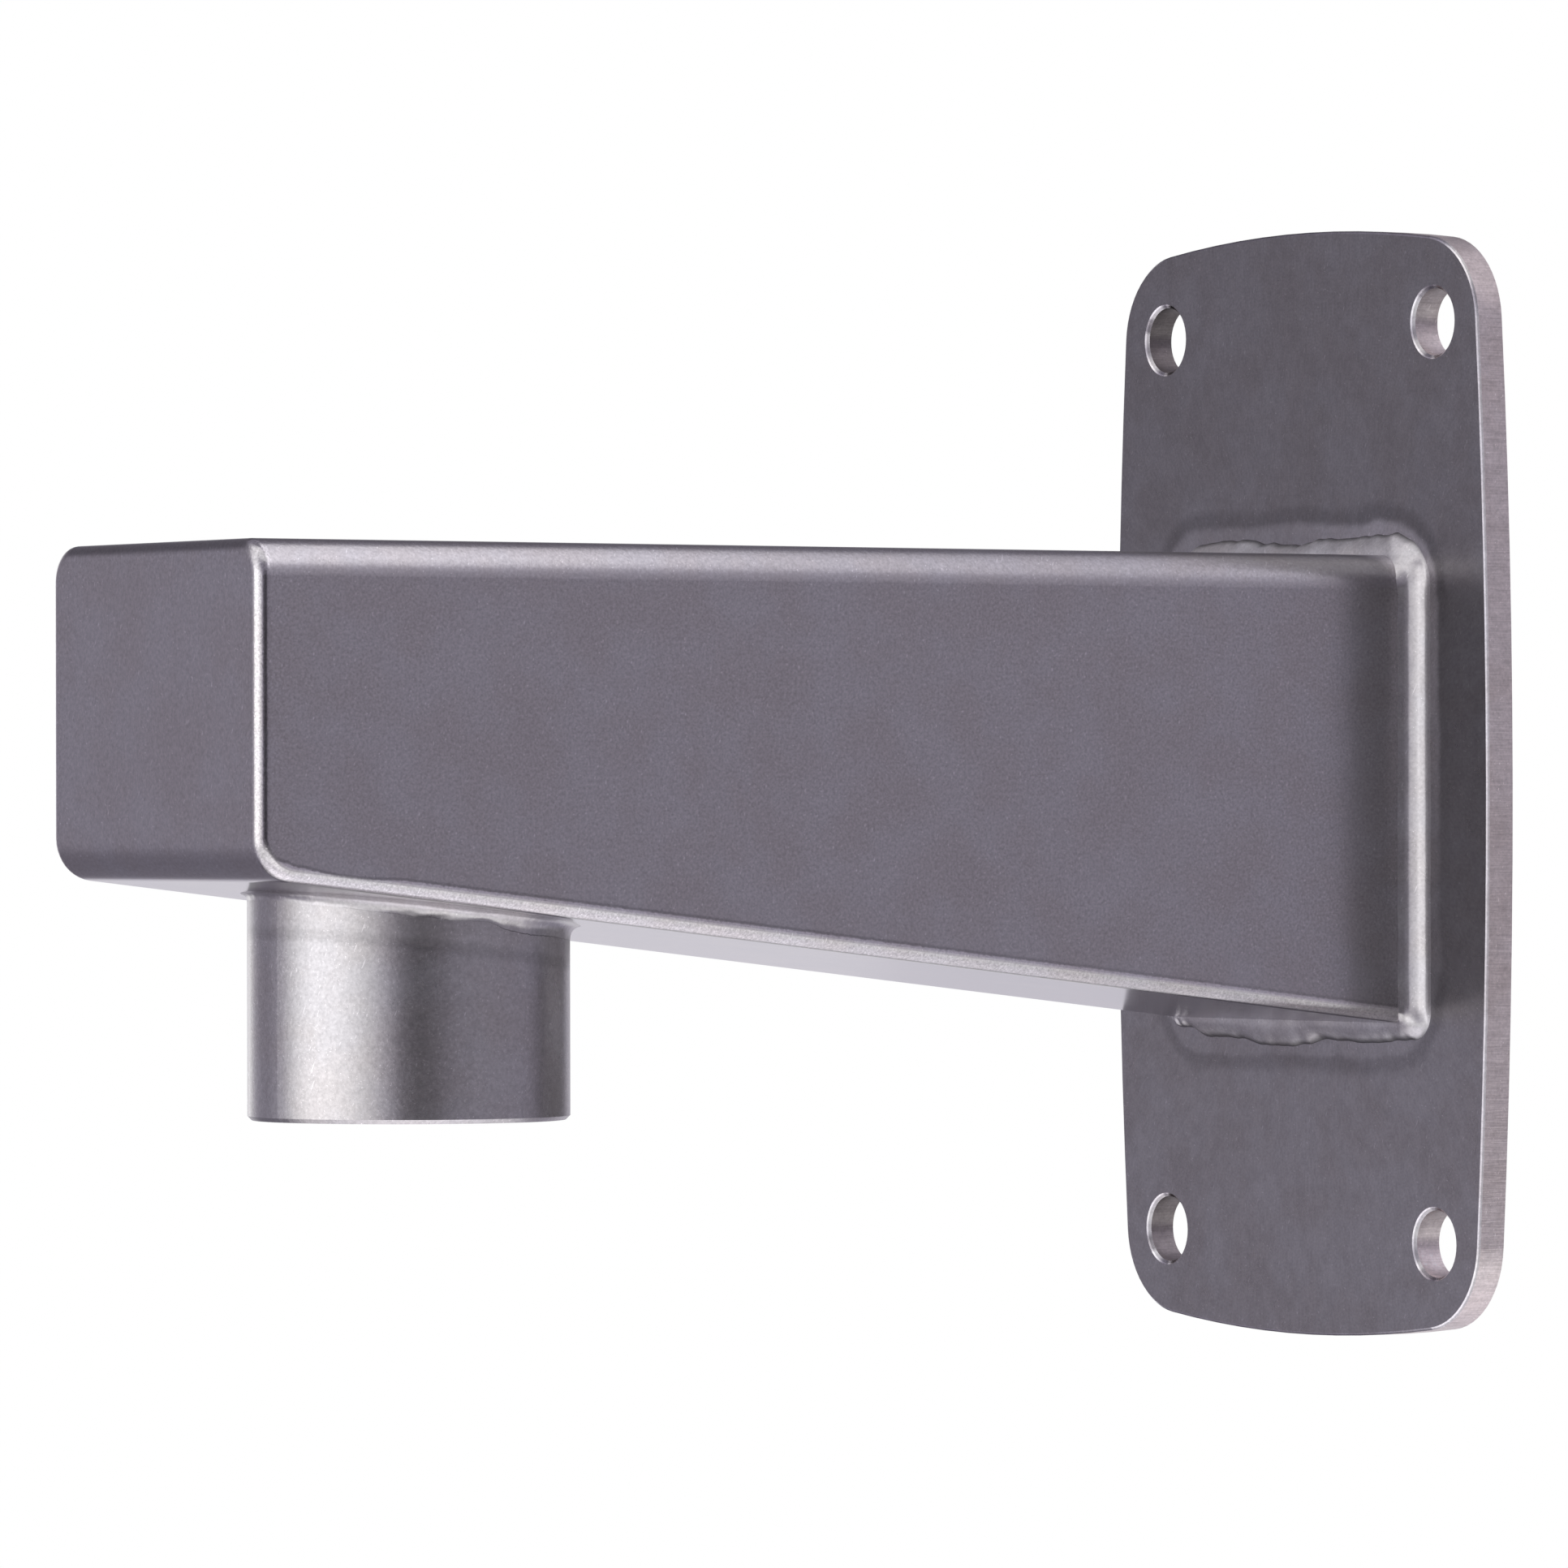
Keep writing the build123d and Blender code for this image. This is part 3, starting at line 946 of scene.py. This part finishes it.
class BRACKET_OT_make_coupling(Operator):
    """Turn the pipe coupling and cut the thread inside it"""

    bl_idname = "bracket.make_coupling"
    bl_label = "Make Pipe Coupling"

    def execute(self, context):
        material = tube_steel(context.scene.bracket_steel)
        bm = coupling_mesh(context.scene.bracket_coupling)
        new_piece("threaded_coupling", bm, material, "pipe_coupling")
        return {"FINISHED"}


class BRACKET_OT_make_welds(Operator):
    """Lay the weld bead round the arm and the one round the coupling"""

    bl_idname = "bracket.make_welds"
    bl_label = "Make Weld Beads"

    def execute(self, context):
        material = weld_steel(context.scene.bracket_steel)
        welds = context.scene.bracket_welds
        new_piece("plate_weld_bead", plate_weld_mesh(welds), material, "plate_weld")
        new_piece("coupling_weld_bead", coupling_weld_mesh(welds), material, "coupling_weld")
        return {"FINISHED"}


# What the metal reflects round the horizon, by degrees right of the camera: light behind the object,
# dark beside and behind the camera, and a grey wall on the right
STUDIO_LEVEL = (
    (-180, 0.70), (-166, 0.72), (-158, 1.60), (-150, 0.95), (-140, 0.44), (-128, 0.26), (-117, 0.26),
    (-107, 0.34), (-99, 0.58), (-91, 0.98), (-84, 1.42), (-75, 1.78), (-62, 1.92), (-45, 1.68), (-38, 1.46),
    (-31, 1.18), (-24, 0.92), (-16, 0.66), (-10, 0.34), (-4, 0.12), (4, 0.07), (14, 0.05), (26, 0.13),
    (34, 0.20), (55, 0.24), (80, 0.26), (94, 0.29), (103, 0.24), (112, 0.06), (126, 0.02), (146, 0.13),
    (160, 0.62),
)
STUDIO_LOW = (
    (-180, 0.90), (-173, 0.50), (-166, 0.18), (-122, 0.18), (-110, 0.28), (-98, 0.50), (-70, 0.95),
    (-35, 1.05), (0, 1.10), (20, 1.25), (38, 1.35), (55, 1.15), (80, 0.95), (102, 0.62), (118, 0.42),
    (130, 0.30), (146, 0.30), (160, 0.50), (172, 0.80), (180, 0.90),
)
STUDIO_HIGH = (
    (-180, 0.10), (-122, 0.09), (-104, 0.25), (-84, 0.90), (-62, 1.25), (-42, 0.90), (-20, 0.30), (20, 0.25),
    (50, 0.45), (80, 0.50), (104, 0.36), (140, 0.32), (158, 0.16), (180, 0.10),
)
STUDIO_TOP = (
    (-180, 0.25), (-120, 0.25), (-95, 0.90), (-62, 1.25), (-30, 0.95), (40, 0.95), (80, 0.50), (122, 0.36),
    (160, 0.20), (180, 0.25),
)
STUDIO_DOWN = (1.08, 1.06, 1.10)
STUDIO_TINT = (1.09, 1.0, 1.28)
SECOND_LIGHT = (0.42, 0.42, 0.44)
SECOND_DARK = (0.22, 0.22, 0.24)
PLAIN_LIGHT = 0.55

# Overhead lamps, one over the other, as (wall end, near end, radiance), in metres
OVERHEAD = ((-0.08, 1.05, 0.22), (-0.15, 0.90, 0.32), (-0.24, 0.75, 0.12), (-0.40, 0.60, 0.16))

# What the overhead lamps share: their front end, their far end, its height, and their fall from there
OVERHEAD_FRONT = 0.15
OVERHEAD_FAR = -0.16
OVERHEAD_HEIGHT = 0.60
OVERHEAD_FALL = 0.143


def studio_ramp(tree, turn, stops):
    """Brightness round the horizon as a ramp, from stops of degrees and brightness."""
    made = add_node(tree, "ShaderNodeValToRGB", {"Fac": turn})
    points = made.color_ramp.elements
    points.remove(points[1])
    for index, (degrees, level) in enumerate(stops):
        where = degrees / 360 + 0.5
        point = points[index] if index < 1 else points.new(where)
        point.position = where
        tint = [1 + (t - 1) * (1 - min(level, 1)) for t in STUDIO_TINT]
        point.color = (level * tint[0], level * tint[1], level * tint[2], 1)
    return made.outputs["Color"]


def studio_world(setup):
    """White behind the object for the eye, and a plain studio for the metal to reflect.

    Its bands give way to each other by their height in degrees, and a ray that has already met the metal
    sees the level band without its lamps."""
    world = bpy.data.worlds.new("studio")
    world.use_nodes = True
    bpy.context.scene.world = world
    tree = world.node_tree
    tree.nodes.clear()
    direction = tree.nodes.new("ShaderNodeTexCoord").outputs["Generated"]
    turned = add_node(
        tree, "ShaderNodeVectorRotate",
        {"Vector": direction, "Angle": setup.camera_azimuth - math.pi / 2}, rotation_type="Z_AXIS",
    ).outputs[0]
    x, y, z = add_node(tree, "ShaderNodeSeparateXYZ", {0: turned}).outputs
    turn = calc(tree, "MULTIPLY_ADD", calc(tree, "ARCTAN2", y, x), 1 / math.tau, 0.5)
    height = calc(tree, "MULTIPLY", calc(tree, "ARCSINE", z), 180 / math.pi)
    ray = tree.nodes.new("ShaderNodeLightPath").outputs
    again = calc(tree, "GREATER_THAN", ray["Glossy Depth"], 1.5)
    level = mix_colour(tree, again, studio_ramp(tree, turn, STUDIO_LEVEL), SECOND_LIGHT, "DARKEN")
    level = mix_colour(tree, again, level, SECOND_DARK, "LIGHTEN")
    steep = ease(tree, height, -60.0, -76.0, 1.0, 1.35)
    steep = add_node(tree, "ShaderNodeCombineColor", {0: steep, 1: steep, 2: steep}).outputs[0]
    down = mix_colour(tree, 1.0, STUDIO_DOWN, steep, "MULTIPLY")
    low = mix_colour(tree, ease(tree, height, -40.0, -51.0), studio_ramp(tree, turn, STUDIO_LOW), down)
    high = studio_ramp(tree, turn, STUDIO_HIGH)
    seen = mix_colour(tree, ease(tree, height, -10.0, -20.0), level, low)
    seen = mix_colour(tree, ease(tree, height, 0.0, 24.0), seen, high)
    seen = mix_colour(tree, ease(tree, height, 34.0, 50.0), seen, studio_ramp(tree, turn, STUDIO_TOP))
    plain = mix_colour(tree, ray["Is Diffuse Ray"], (1.0, 1.0, 1.0), (PLAIN_LIGHT,) * 3)
    light = mix_colour(tree, ray["Is Glossy Ray"], plain, seen)
    background = add_node(tree, "ShaderNodeBackground", {"Color": light, "Strength": 1.0})
    output = tree.nodes.new("ShaderNodeOutputWorld")
    tree.links.new(background.outputs[0], output.inputs[0])


def softbox(name, corner_a, corner_b, width, radiance, aim):
    """A rectangular lamp between the middles of two opposite sides, shining towards aim."""
    middle = (corner_a + corner_b) / 2
    along = corner_b - corner_a
    towards = (aim - middle).normalized()
    x_axis = along.normalized()
    z_axis = -(towards - towards.dot(x_axis) * x_axis).normalized()
    y_axis = z_axis.cross(x_axis)
    lamp = bpy.data.lights.new(name, "AREA")
    lamp.shape = "RECTANGLE"
    lamp.size = along.length
    lamp.size_y = width
    lamp.energy = radiance * math.pi * along.length * width
    holder = bpy.data.objects.new(name, lamp)
    holder.matrix_world = Matrix.Translation(middle) @ Matrix((x_axis, y_axis, z_axis)).transposed().to_4x4()
    holder.visible_camera = False
    bpy.context.scene.collection.objects.link(holder)


def stage_floor(setup):
    """A round pale floor that keeps the shadow, fades out at its rim and can't be seen from below."""
    bm = bmesh.new()
    centre = Vector((setup.aim_ahead, 0, setup.floor_height))
    bmesh.ops.create_circle(
        bm, cap_ends=True, segments=128, radius=setup.floor_radius, matrix=Matrix.Translation(centre)
    )
    mesh = bpy.data.meshes.new("floor")
    bm.to_mesh(mesh)
    bm.free()
    material = bpy.data.materials.new("pale floor")
    material.use_nodes = True
    tree = material.node_tree
    tree.nodes.clear()
    place = tree.nodes.new("ShaderNodeTexCoord").outputs["Object"]
    away = add_node(tree, "ShaderNodeVectorMath", {0: place, 1: centre}, operation="DISTANCE")
    fade = ease(tree, away.outputs["Value"], setup.floor_radius * 0.45, setup.floor_radius * 0.98)
    below = tree.nodes.new("ShaderNodeNewGeometry").outputs["Backfacing"]
    clear = calc(tree, "MAXIMUM", fade, below)
    paint = add_node(tree, "ShaderNodeBsdfDiffuse", {"Color": (0.9, 0.9, 0.9, 1)})
    gone = tree.nodes.new("ShaderNodeBsdfTransparent")
    mixed = add_node(tree, "ShaderNodeMixShader", {0: clear, 1: paint.outputs[0], 2: gone.outputs[0]})
    output = tree.nodes.new("ShaderNodeOutputMaterial")
    tree.links.new(mixed.outputs[0], output.inputs[0])
    mesh.materials.append(material)
    floor = bpy.data.objects.new("floor", mesh)
    floor.visible_glossy = False
    bpy.context.scene.collection.objects.link(floor)


def stage_camera(setup):
    """The camera at the photograph's viewing angle."""
    azimuth, elevation = setup.camera_azimuth, setup.camera_elevation
    back = Vector((
        math.sin(azimuth) * math.cos(elevation),
        math.cos(azimuth) * math.cos(elevation),
        math.sin(elevation),
    ))
    level_right = Vector((0, 0, 1)).cross(back).normalized()
    level_up = back.cross(level_right)
    c, s = math.cos(setup.camera_roll), math.sin(setup.camera_roll)
    right = c * level_right + s * level_up
    up = c * level_up - s * level_right
    aim = Vector((setup.aim_ahead, 0, 0)) - setup.aim_right * right - setup.aim_up * up
    lens = bpy.data.cameras.new("camera")
    lens.lens = setup.lens
    lens.sensor_width = 36.0
    lens.clip_start = 0.05
    lens.clip_end = 50.0
    camera = bpy.data.objects.new("camera", lens)
    turned = Matrix((right, up, back)).transposed().to_4x4()
    camera.matrix_world = Matrix.Translation(aim + setup.camera_distance * back) @ turned
    bpy.context.scene.collection.objects.link(camera)
    bpy.context.scene.camera = camera


class BRACKET_OT_make_stage(Operator):
    """Set up the floor, the lights, the white background and the camera"""

    bl_idname = "bracket.make_stage"
    bl_label = "Make Stage"

    def execute(self, context):
        setup = context.scene.bracket_studio
        studio_world(setup)
        arm = Vector((STRIP_HIGH.x, 0, ARM_TOP))
        for number, (wall_end, near_end, radiance) in enumerate(OVERHEAD):
            middle = (wall_end + OVERHEAD_FRONT) / 2
            far = Vector((middle, OVERHEAD_FAR, OVERHEAD_HEIGHT))
            fall = OVERHEAD_FALL * (near_end - OVERHEAD_FAR)
            near = Vector((middle, near_end, OVERHEAD_HEIGHT - fall))
            softbox(f"overhead softbox {number + 1}", far, near, OVERHEAD_FRONT - wall_end, radiance, arm)
        stage_floor(setup)
        stage_camera(setup)
        scene = context.scene
        scene.view_settings.view_transform = "Standard"
        return {"FINISHED"}


class BRACKET_PT_sidebar(Panel):
    """The bracket's sizes, its finish and its steps in the sidebar"""

    bl_label = "Wall Bracket"
    bl_idname = "BRACKET_PT_sidebar"
    bl_space_type = "VIEW_3D"
    bl_region_type = "UI"
    bl_category = "Bracket"

    def draw(self, context):
        layout = self.layout
        for title, group, steps in SIDEBAR:
            box = layout.box()
            box.label(text=title)
            settings = getattr(context.scene, group)
            for name in settings.__annotations__:
                box.prop(settings, name)
            for step in steps:
                box.operator(step.bl_idname)


SIDEBAR = (
    ("Steel", "bracket_steel", (BRACKET_OT_finish_plate, BRACKET_OT_finish_arm)),
    ("Coupling", "bracket_coupling", (BRACKET_OT_make_coupling,)),
    ("Welds", "bracket_welds", (BRACKET_OT_make_welds,)),
    ("Studio", "bracket_studio", (BRACKET_OT_make_stage,)),
)
GROUPS = (
    ("bracket_steel", SteelFinish),
    ("bracket_coupling", CouplingSizes),
    ("bracket_welds", WeldSizes),
    ("bracket_studio", StudioSetup),
)
CLASSES = (
    BRACKET_OT_finish_plate,
    BRACKET_OT_finish_arm,
    BRACKET_OT_make_coupling,
    BRACKET_OT_make_welds,
    BRACKET_OT_make_stage,
    BRACKET_PT_sidebar,
)


def register():
    for name, group in GROUPS:
        bpy.utils.register_class(group)
        setattr(bpy.types.Scene, name, PointerProperty(type=group))
    for one in CLASSES:
        bpy.utils.register_class(one)


def unregister():
    for one in reversed(CLASSES):
        bpy.utils.unregister_class(one)
    for name, group in reversed(GROUPS):
        delattr(bpy.types.Scene, name)
        bpy.utils.unregister_class(group)


def main():
    """Register the add-on and run its steps in order."""
    register()
    etched_grain()
    handling_marks()
    bpy.ops.bracket.finish_plate()
    bpy.ops.bracket.finish_arm()
    bpy.ops.bracket.make_coupling()
    bpy.ops.bracket.make_welds()
    bpy.ops.bracket.make_stage()


if __name__ == "__main__":
    main()
